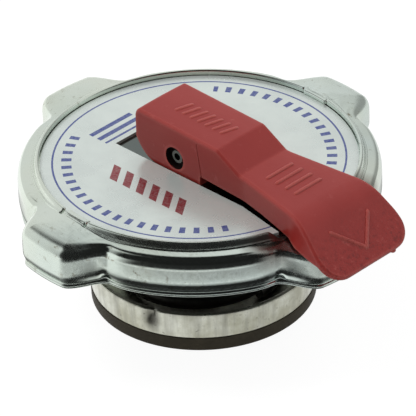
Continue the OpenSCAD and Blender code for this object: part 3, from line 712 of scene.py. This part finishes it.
# The slot for the stem's blade, up to SLOT_END, and the pocket under the arm, with the pocket's roof
SLOT_END, SLOT_HALF_W, SLOT_ROOF_Z = 2.9, 2.3, 32.7
POCKET_START, POCKET_END, POCKET_WALL = 8.0, 37.9, 1.9
HOLLOW = [(8.0, 33.55), (9.3, 33.55), (14.6, 30.55), (29.3, 29.85), (33.3, 28.19), (37.4, 25.15)]
TIP_ROOF = [(BEND_X, 2.2), (38.2, 1.2)]         # the roof's depth below the top, from the bend on


def top_sharp(x):
    """Height of the top with sharp creases."""
    if x <= BEND_X:
        return line_through(x, TOP)
    if x < BEND_END[0]:
        centre_x, centre_z = BEND_X - BEND_R * math.sin(ARM_TILT), BEND_Z - BEND_R * math.cos(ARM_TILT)
        return centre_z + math.sqrt(BEND_R ** 2 - (x - centre_x) ** 2)
    return BEND_END[1] - (x - BEND_END[0]) * math.tan(math.radians(BEND_DEG))


def lever_top(x):
    """Height of the top, with its creases a little rounded and its back edge rolled over."""
    reach = np.linspace(-0.25, 0.25, 7)
    z = float(np.mean([top_sharp(max(HEAD_BACK, x + d)) for d in reach]))
    back = BACK_EDGE_R - (x - HEAD_BACK)
    return z - (BACK_EDGE_R - math.sqrt(max(0.0, BACK_EDGE_R ** 2 - back * back))) if back > 0 else z


def lever_tilt(x):
    """How far the lever's sections lean, so that they stay square to the bent tip."""
    if x >= BEND_END[0]:
        return math.radians(BEND_DEG)
    if x > BEND_X:
        return math.asin((x - BEND_X + BEND_R * math.sin(ARM_TILT)) / BEND_R)
    return ARM_TILT * smooth_step((x - TILT_FROM) / 3.3)


def cam_line():
    """The cam behind the pin: an involute that lifts the stem evenly as the lever turns."""
    line = []
    for turn in np.linspace(0, 90, 40):
        t = math.radians(turn)
        h = CAM_REST + CAM_R * t
        x = -h * math.sin(t) - CAM_R * math.cos(t)
        line.append((x, PIN_Z - h * math.cos(t) + CAM_R * math.sin(t)))
    return sorted(p for p in line if p[0] > HEAD_BACK)


CAM = cam_line()


def lever_foot(x):
    """Height of the lever's lower edge."""
    if x <= CAM[-1][0]:
        return line_through(x, [(HEAD_BACK, HEEL_Z)] + CAM)
    return HEAD_FOOT_Z if x <= HEAD_FRONT else line_through(x, FOOT)


def lever_depth(x):
    """Distance from the top down to the foot, square to the lever."""
    top, tilt = lever_top(x), lever_tilt(x)
    if tilt == 0:
        return top - lever_foot(x)
    for h in np.arange(1.0, 12.0, 0.01):
        below = x - h * math.sin(tilt)
        if top - h * math.cos(tilt) <= lever_foot(below) or below > 40.75:
            return max(h, TIP_THICK)
    return TIP_THICK


def to_tip(x):
    """Distance to the tip's end, along the tip."""
    return (TIP_X - x) / math.cos(math.radians(BEND_DEG))


def lever_half_width(x):
    end = to_tip(x)
    if end < TIP_CORNER_R:
        corner = math.sqrt(max(0.0, TIP_CORNER_R ** 2 - (TIP_CORNER_R - end) ** 2))
        return TIP_HALF_W - TIP_CORNER_R + corner
    return float(np.mean([line_through(x + d, WIDTHS) for d in np.linspace(-0.6, 0.6, 7)]))


def lever_row(x, hollow):
    """Section across the lever; hollow says whether the pocket or the blade's slot is open here."""
    w, top, tilt, depth = lever_half_width(x), lever_top(x), lever_tilt(x), lever_depth(x)
    start = TIP_EDGE_R - math.sqrt(max(0.0, TIP_EDGE_R ** 2 - max(0.0, TIP_EDGE_R - to_tip(x)) ** 2))
    r1, r2 = min(TOP_EDGE_R, 0.4 * depth), min(FOOT_EDGE_R, 0.2 * depth)

    def surface(y):
        return start + CROWN * (y / w) ** 2

    half = [(y, surface(y)) for y in (w - r1) * np.array([0, 0.2, 0.4, 0.6, 0.8])]
    corner = surface(w - r1) + r1
    for a in np.radians(np.linspace(90, 0, 8)):
        half.append((w - r1 + r1 * math.cos(a), corner - r1 * math.sin(a)))
    half += [(w, h) for h in np.linspace(corner, depth - r2, 9)[1:-1]]
    for a in np.radians(np.linspace(0, -90, 5)):
        half.append((w - r2 + r2 * math.cos(a), depth - r2 - r2 * math.sin(a)))
    wall = max(0.4, w - POCKET_WALL)
    if hollow and x < SLOT_END + 0.05:
        wall, roof = SLOT_HALF_W, top - SLOT_ROOF_Z
    elif x <= BEND_X:
        roof = top - line_through(x, HOLLOW)
    else:
        roof = line_through(x, TIP_ROOF)
    roof = min(max(roof, 0.5), depth - 0.001) if hollow else depth - 0.001
    half += [(wall + (w - r2 - wall) * 0.5, depth), (wall, depth)]
    half += [(wall, depth + (roof - depth) * t) for t in (0.33, 0.66, 1.0)]
    half += [(wall * t, roof) for t in (0.66, 0.33)]
    other = [(-y, h) for y, h in reversed(half[1:])]
    return [(x - h * math.sin(tilt), y, top - h * math.cos(tilt)) for y, h in half + [(0.0, roof)] + other]


def lever_stations():
    """Places along the lever where it is cut, finer where it turns, and whether it is hollow there."""
    fine = list(np.linspace(HEAD_BACK, HEAD_BACK + 1.0, 9)) + list(np.linspace(9, 17, 65))
    fine += [TIP_X - 3.4 * (1 - math.cos(a)) for a in np.linspace(0, math.pi / 2, 36)]
    fine += [TIP_X - d for d in (0.004, 0.015, 0.04, 0.08, 0.13, 0.18, 0.23)]
    even = list(np.linspace(HEAD_BACK, TIP_X, 120))
    jumps = {SLOT_END: (True, False), POCKET_START: (False, True), POCKET_END: (True, False),
             HEAD_FRONT: (False, False)}
    stations = []
    for x in sorted(set(round(v, 3) for v in fine + even)):
        if all(abs(x - j) > 0.02 for j in jumps):
            stations.append((x, x < SLOT_END or POCKET_START < x < POCKET_END))
    for j, (before, after) in jumps.items():
        stations += [(j - 0.004, before), (j + 0.004, after)]
    return sorted(stations)


def groove_shape():
    """The fine parting line that runs down the head's near side."""
    rows = [[(5.4, y, 35.05), (5.56, y, 35.05), (6.7, y, 28.2), (6.5, y, 28.2)] for y in (-6.4, -5.9)]
    return flat(rows), capped(rows)


rows = [lever_row(x, hollow) for x, hollow in lever_stations()]
lever = add_piece("lever_moulding", flat(rows), capped(rows), RED, "lever_body", "red_moulding", ["lever"])
for shape in (rod_across(PIN_BORE_R, -12.0, 12.0, PIN_Z),
              rod_across(COUNTERBORE_R, -8.0, -COUNTERBORE_Y, PIN_Z),
              rod_across(COUNTERBORE_R, COUNTERBORE_Y, 8.0, PIN_Z), groove_shape()):
    cut(lever, *shape)


def on_lever(x, y):
    """Height of the lever's top surface."""
    return lever_top(x) - CROWN * (y / lever_half_width(x)) ** 2


BAR_HALF_W, BAR_SUNK = 0.42, -0.05
BAR_PROFILE = [(-1.0, 0.0), (-0.78, 0.62), (-0.4, 0.95), (0.0, 1.0), (0.4, 0.95), (0.78, 0.62), (1.0, 0.0)]


def strip_shape(a, b, half, high):
    """Closed low bar from a to b in plan, lying on the lever, with rounded top and tapered ends."""
    a, b = np.array(a, float), np.array(b, float)
    length = np.hypot(*(b - a))
    along = (b - a) / length
    side = np.array([-along[1], along[0]])
    taper = 1.4 * half
    ends = [s * half for s in (0.0, 0.3, 0.8, 1.4)]
    places = ends + list(np.linspace(taper, length - taper, 9)[1:-1]) + [length - e for e in reversed(ends)]
    rows = []
    for d in places:
        from_end = min(d, length - d) / taper
        rise = math.sqrt(max(0.0, 1 - (1 - min(1.0, from_end)) ** 2))
        width = half * (0.45 + 0.55 * rise)
        row = []
        for s, h in BAR_PROFILE:
            x, y = a + along * d + side * s * width
            row.append((x, y, on_lever(x, y) + BAR_SUNK + (high - BAR_SUNK) * h * rise))
        base = [(x, y, on_lever(x, y) + BAR_SUNK - 0.15) for x, y, _ in (row[-1], row[0])]
        rows.append(row + base)
    return flat(rows), capped(rows)


def joined(shapes):
    """Several closed shapes as one mesh."""
    points, faces = [], []
    for more, sides in shapes:
        faces += [tuple(i + len(points) for i in f) for f in sides]
        points += list(more)
    return points, faces


def nub(centre, r):
    """Small lump left where the moulding was cut from its runner."""
    x, y, z = centre
    rows = []
    for a in (math.pi * i / 8 for i in range(1, 8)):
        rows.append([(x + r * 1.2 * math.sin(a) * math.cos(b), y + r * math.sin(a) * math.sin(b),
                      z + r * 0.8 * math.cos(a)) for b in np.linspace(0, 2 * math.pi, 14, endpoint=False)])
    return flat(rows), capped(rows)


# Plain bars in place of the lever's raised words, its chevron, and two lumps
bars = [strip_shape((x - 0.5, -1.9), (x + 0.5, 1.9), BAR_HALF_W, 0.18) for x in np.linspace(-3.2, 7.6, 7)]
bars += [strip_shape((x, -3.4), (x, 3.4), BAR_HALF_W, 0.26) for x in (19.6, 21.8, 24.0, 26.2)]
chevron = [strip_shape((35.5, -side * 4.9), (39.75, side * 0.1), 0.34, 0.3) for side in (1, -1)]
nubs = [nub((40.9, 5.0, 23.25), 0.6), nub((19.8, 6.55, 31.6), 0.36)]
add_piece("lever_relief", *joined(bars + chevron + nubs), RED, "lever_body", "red_moulding", sharp=60)


def rib_shape():
    """The rib along the arm's underside."""
    rows = []
    for x in np.linspace(7.9, 27.7, 24):
        low, high = lever_foot(x) + 0.05, line_through(x, HOLLOW) + 0.3
        rows.append([(x, -0.9, low + 0.2), (x, -0.7, low), (x, 0.7, low), (x, 0.9, low + 0.2),
                     (x, 0.9, high), (x, -0.9, high)])
    return flat(rows), capped(rows)


def tongue_shape():
    """The tongue that locks the cap, with its edges broken and its end rounded."""
    c = 0.25
    rows = []
    for z, inset in ((21.8, 0.5), (21.95, 0.25), (22.3, 0.05), (23.0, 0.0), (26.4, 0.0), (30.6, 0.0)):
        x0, x1, y = 24.2 + 0.5 * inset, 25.8 - 0.5 * inset, 2.2 - inset
        rows.append([(x0 + c, -y, z), (x1 - c, -y, z), (x1, -y + c, z), (x1, y - c, z),
                     (x1 - c, y, z), (x0 + c, y, z), (x0, y - c, z), (x0, -y + c, z)])
    return flat(rows), capped(rows)


add_piece("lever_ribs", *joined([rib_shape(), tongue_shape()]), RED, "lever_body", "red_moulding")


# Pressure valve's cup and seal, and the gasket for the neck's rim: closed profiles of (radius, height)
CUP = [(4.0, 2.5), (20.1, 2.5), (20.5, 7.7), (19.6, 7.7), (19.2, 3.4), (4.0, 3.4)]
SEAL_RING = [(11.05, 1.8), (13.2, 1.8), (13.2, 0.0), (20.15, 0.0), (20.2, 2.5), (11.05, 2.5)]
NECK_RING = [(20.2, 22.8), (23.6, 22.8), (23.6, 24.0), (20.2, 24.0)]
CUP_TOP = 7.7
DENT_DEG, DENT_WIDE, DENT_LEAN, DENT_DEEP = -71.9, 2.4, 0.4, 0.85


def rounded(profile, r, steps=4):
    """A closed profile with each corner rounded, by less where its sides are short."""
    out = []
    count = len(profile)
    for i in range(count):
        p, a, b = (np.array(profile[k % count], float) for k in (i, i - 1, i + 1))
        reach = min(r, 0.45 * np.hypot(*(a - p)), 0.45 * np.hypot(*(b - p)))
        start = p + (a - p) / np.hypot(*(a - p)) * reach
        end = p + (b - p) / np.hypot(*(b - p)) * reach
        for t in np.linspace(0, 1, steps + 1):
            out.append(tuple((1 - t) ** 2 * start + 2 * t * (1 - t) * p + t * t * end))
    return out


def divided(profile, step):
    """A closed profile with points put in along its long sides."""
    out = []
    for i, p in enumerate(profile):
        q = profile[(i + 1) % len(profile)]
        count = max(1, math.ceil(math.dist(p, q) / step))
        out += [(p[0] + (q[0] - p[0]) * k / count, p[1] + (q[1] - p[1]) * k / count) for k in range(count)]
    return out


def dented_cup():
    """The cup, with the dent that the photograph shows in its upper edge and a faint waviness there."""
    points, faces = revolve(divided(rounded(CUP, 0.25), 0.5), 432)
    out = []
    for x, y, z in points:
        r = math.hypot(x, y)
        angle = math.degrees(math.atan2(y, x))
        high = smooth_step((z - 3.9) / 2.8) if r > 15 else 0.0
        aside = angle - DENT_DEG + DENT_LEAN * (CUP_TOP - z)
        depth = DENT_DEEP * high * math.exp(-(aside / DENT_WIDE) ** 2)
        wave = 0.03 * high * min(0.0, math.sin(math.radians(3 * angle + 40)))
        k = (r - depth + wave) / r
        out.append((x * k, y * k, z - 0.6 * depth * smooth_step((z - 6.6) / 1.0)))
    return out, faces


add_piece("valve_cup_skin", *dented_cup(), TIN, "pressure_valve_body", "plain_steel", ["valve_cup"])
add_piece("pressure_seal_ring", *revolve(rounded(SEAL_RING, 0.16, 5), 256), SEAL, "pressure_valve_body",
          "seal_rubber", ["pressure_seal"])
add_piece("neck_gasket_ring", *revolve(rounded(NECK_RING, 0.3, 5), 192), GASKET, "cap_body",
          "gasket_rubber", ["neck_gasket"])


# Springs. The pressure spring is parted at SPRING_SPLIT, because the stem moves between its two ends
SPRING_R, SPRING_WIRE, SPRING_LOW, SPRING_HIGH, SPRING_SPLIT = 13.6, 2.4, 3.4, 24.6, 9.0
LIGHT_R, LIGHT_WIRE_T, LIGHT_LOW, LIGHT_HIGH = 4.95, 0.5, 3.4, 6.8
LIGHT_ENDS = (3.6, 6.7)
FLAT_TURN, END_GAP = 0.6, 0.05


def coil_rows(mean_r, wire, low, high, turns, per_turn, corners):
    """Rings of points along a coil whose end turns lie flat."""
    steps = round(turns * per_turn)
    rows = []
    for i in range(steps + 1):
        at = turns * i / steps
        x = min(1.0, max(0.0, (at - FLAT_TURN) / (turns - 2 * FLAT_TURN)))
        rise = (high - low - wire - 2 * END_GAP) * (0.35 * smooth_step(x) + 0.65 * x)
        z = low + wire / 2 + END_GAP + rise
        a = 2 * math.pi * at
        row = []
        for b in np.linspace(0, 2 * math.pi, corners, endpoint=False):
            r = mean_r + wire / 2 * math.cos(b)
            row.append((r * math.cos(a), r * math.sin(a), z + wire / 2 * math.sin(b)))
        rows.append(row)
    return rows


def add_spring(name, rows, material, slot, node, bodies, start_z, end_z):
    """A run of a coil, made as a piece on no body, with its placing baked into its points."""
    spring = add_piece(name, flat(rows), capped(rows), material, None, slot, [node])
    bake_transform(spring)


rows = coil_rows(SPRING_R, SPRING_WIRE, SPRING_LOW, SPRING_HIGH, 4.75, 72, 16)
parting = next(i for i, row in enumerate(rows) if np.mean([p[2] for p in row]) > SPRING_SPLIT)
parting_z = SPRING_SPLIT - SPRING_WIRE / 2
add_spring("pressure_spring_foot", rows[:parting + 1], WIRE, "spring_wire", "pressure_spring",
           ("stem_body", "pressure_valve_body"), parting_z, SPRING_LOW)
add_spring("pressure_spring_coil", rows[parting:], WIRE, "spring_wire", "pressure_spring",
           ("cap_body", "stem_body"), SPRING_HIGH, parting_z)
rows = coil_rows(LIGHT_R, LIGHT_WIRE_T, LIGHT_LOW, LIGHT_HIGH, 4, 48, 10)
add_spring("vacuum_spring_coil", rows, LIGHT_WIRE, "light_wire", "vacuum_spring",
           ("pressure_valve_body", "vacuum_valve_body"), *LIGHT_ENDS)


# CAD nodes that keep their shape, each with its material and how far its edges are softened, in millimetres
KEPT = {
    "top_plate": (PLATE, 0.1), "diaphragm": (SPRING_STEEL, 0.08), "spring_seat": (STEEL, 0.12),
    "centre_rivet": (RIVET, 0.1), "stem_seal": (GASKET, 0.0), "lift_stem": (RIVET, 0.12),
    "stem_washer": (RIVET, 0.1), "lever_pin": (PIN, 0.15), "seal_retainer": (STEEL, 0.1),
    "lift_bridge": (STEEL, 0.12), "bridge_rivets": (RIVET, 0.12), "vacuum_valve": (BRASS, 0.08),
    "vacuum_seal": (SEAL, 0.08), "vacuum_washer": (STEEL, 0.08),
}
for node, (material, bevel) in KEPT.items():
    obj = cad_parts[node]
    obj.data.materials.clear()
    obj.data.materials.append(material)
    if bevel:
        modifier = obj.modifiers.new("soft_edges", "BEVEL")
        modifier.width = bevel * MM
        modifier.segments = 2
        modifier.limit_method = "ANGLE"
        modifier.angle_limit = math.radians(40)


# Floor, light and surroundings. How bright the floor is in reflections, by distance from the axis in metres:
# painted shadow of the cap close by, and towards the camera painted light and dark bands where the lit floor
# ends
FLOOR_ROUND = [(0.0, 1.0), (0.12, 0.95), (0.032, 0.9), (0.037, 0.1), (0.046, 0.2), (0.056, 0.9)]
FLOOR_IN_FRONT = [(0.0, 1.0), (0.12, 0.02), (0.032, 0.9), (0.036, 0.02), (0.054, 0.02), (0.0625, 1.0),
                  (0.067, 0.28), (0.072, 0.5), (0.08, 0.9), (0.096, 0.02)]
PER_METRE = 8.0             # from metres to places on a colour ramp
FLOOR_HALF, FLOOR_Z_M = 3.0, -0.0002
FLOOR_GLOW, FLOOR_SHADED, FLOOR_WHITE = 0.93, 0.15, 0.8
LAMP_AIM = Vector((0, 0, 0.02))


def grey(level):
    return (level, level, level, 1.0)


def add_floor():
    """A floor that glows white for the camera, with a faint shadow; in reflections it shows painted light and
    painted shadow.
    """
    s = FLOOR_HALF
    mesh = bpy.data.meshes.new("floor")
    mesh.from_pydata([(-s, -s, 0), (s, -s, 0), (s, s, 0), (-s, s, 0)], [], [(0, 1, 2, 3)])
    floor = bpy.data.objects.new("floor", mesh)
    scene.collection.objects.link(floor)
    floor.location.z = FLOOR_Z_M
    net = Net("floor_white")
    net.set(Base_Color=grey(FLOOR_WHITE), Roughness=0.9, Specular_IOR_Level=0.0)
    x, y, _ = net.axes()
    r = net.hypot(x, y)
    in_front = net.span(net.math("DIVIDE", net.along((x, y), (0, -1, 0)), r), 0.5, 0.8)
    # painted light: in reflections the floor is brighter on the left
    on_left = net.span(net.math("DIVIDE", net.along((x, y), (-1, 0, 0)), r), -0.5, 0.5, 0.9, 1.15)
    ramps = []
    for levels in (FLOOR_ROUND, FLOOR_IN_FRONT):
        ramp = net.add("ShaderNodeValToRGB", {"Fac": net.times(r, PER_METRE)})
        stops = ramp.color_ramp.elements
        for k, (at, level) in enumerate(levels):
            stop = stops[k] if k < 2 else stops.new(at * PER_METRE)
            stop.position = at * PER_METRE
            stop.color = grey(level)
        ramps.append(ramp.outputs["Color"])
    mirrored = net.mirrored()
    level = net.mix(mirrored, grey(FLOOR_GLOW), net.times(net.mix(in_front, *ramps), on_left))
    glow = net.add("ShaderNodeEmission", {"Color": level, "Strength": 1.0})
    shaded = net.add("ShaderNodeBsdfDiffuse", {"Color": grey(FLOOR_SHADED)})
    both = net.add("ShaderNodeAddShader", {0: glow.outputs[0], 1: shaded.outputs[0]})
    seen = net.add("ShaderNodeMixShader", {0: mirrored, 1: both.outputs[0], 2: glow.outputs[0]})
    mixed = net.add("ShaderNodeMixShader", {0: net.looked_at(), 1: net.shader.outputs[0], 2: seen.outputs[0]})
    net.put(net.tree.nodes["Material Output"].inputs["Surface"], mixed.outputs[0])
    mesh.materials.append(net.material)


def add_world():
    """White all round for the camera; in reflections dark overhead, behind on the right and in front."""
    world = bpy.data.worlds.new("studio")
    scene.world = world
    world.use_nodes = True
    net = Tree(world.node_tree)
    net.tree.nodes.clear()
    sky = net.add("ShaderNodeTexCoord").outputs["Generated"]
    axes = tuple(net.add("ShaderNodeSeparateXYZ", {0: sky}).outputs)

    def soft(value, low, high):
        return net.span(value, low, high, curve="SMOOTHSTEP")

    off_left = net.math("SUBTRACT", 1.0, soft(net.along(axes, (-1, 0, 0)), 0.4, 0.65))
    overhead = net.times(soft(net.along(axes, (-0.35, -0.1, 0.93)), 0.65, 0.77), off_left)
    behind = net.times(soft(net.along(axes, (0.65, 0.68, 0.33)), 0.8, 0.97), 0.55)
    front = net.times(soft(net.along(axes, (0, -1, 0)), 0.05, 0.5), soft(axes[2], -0.2, -0.05))
    dark = net.math("MAXIMUM", net.math("MAXIMUM", overhead, behind), front)
    level = net.math("SUBTRACT", 1.0, net.times(net.mirrored(), dark, 0.985))
    fill = net.plus(net.times(net.looked_at(), 0.45), 0.55)
    background = net.add("ShaderNodeBackground", {"Strength": net.times(level, fill)})
    net.put(net.add("ShaderNodeOutputWorld").inputs["Surface"], background.outputs[0])


def add_lamp(name, place, size, watts):
    """A round lamp that lights the cap but doesn't show in its reflections."""
    data = bpy.data.lights.new(name, "AREA")
    data.shape = "DISK"
    data.size = size
    data.energy = watts
    lamp = bpy.data.objects.new(name, data)
    scene.collection.objects.link(lamp)
    at = to_part(place)
    lamp.location = at
    lamp.rotation_euler = (LAMP_AIM - at).to_track_quat("-Z", "Y").to_euler()
    lamp.visible_glossy = False


add_floor()
add_world()
add_lamp("key", (-0.5, 0.15, 0.9), 0.6, 5.0)
add_lamp("back", (0.45, 0.7, 0.6), 0.5, 2.5)
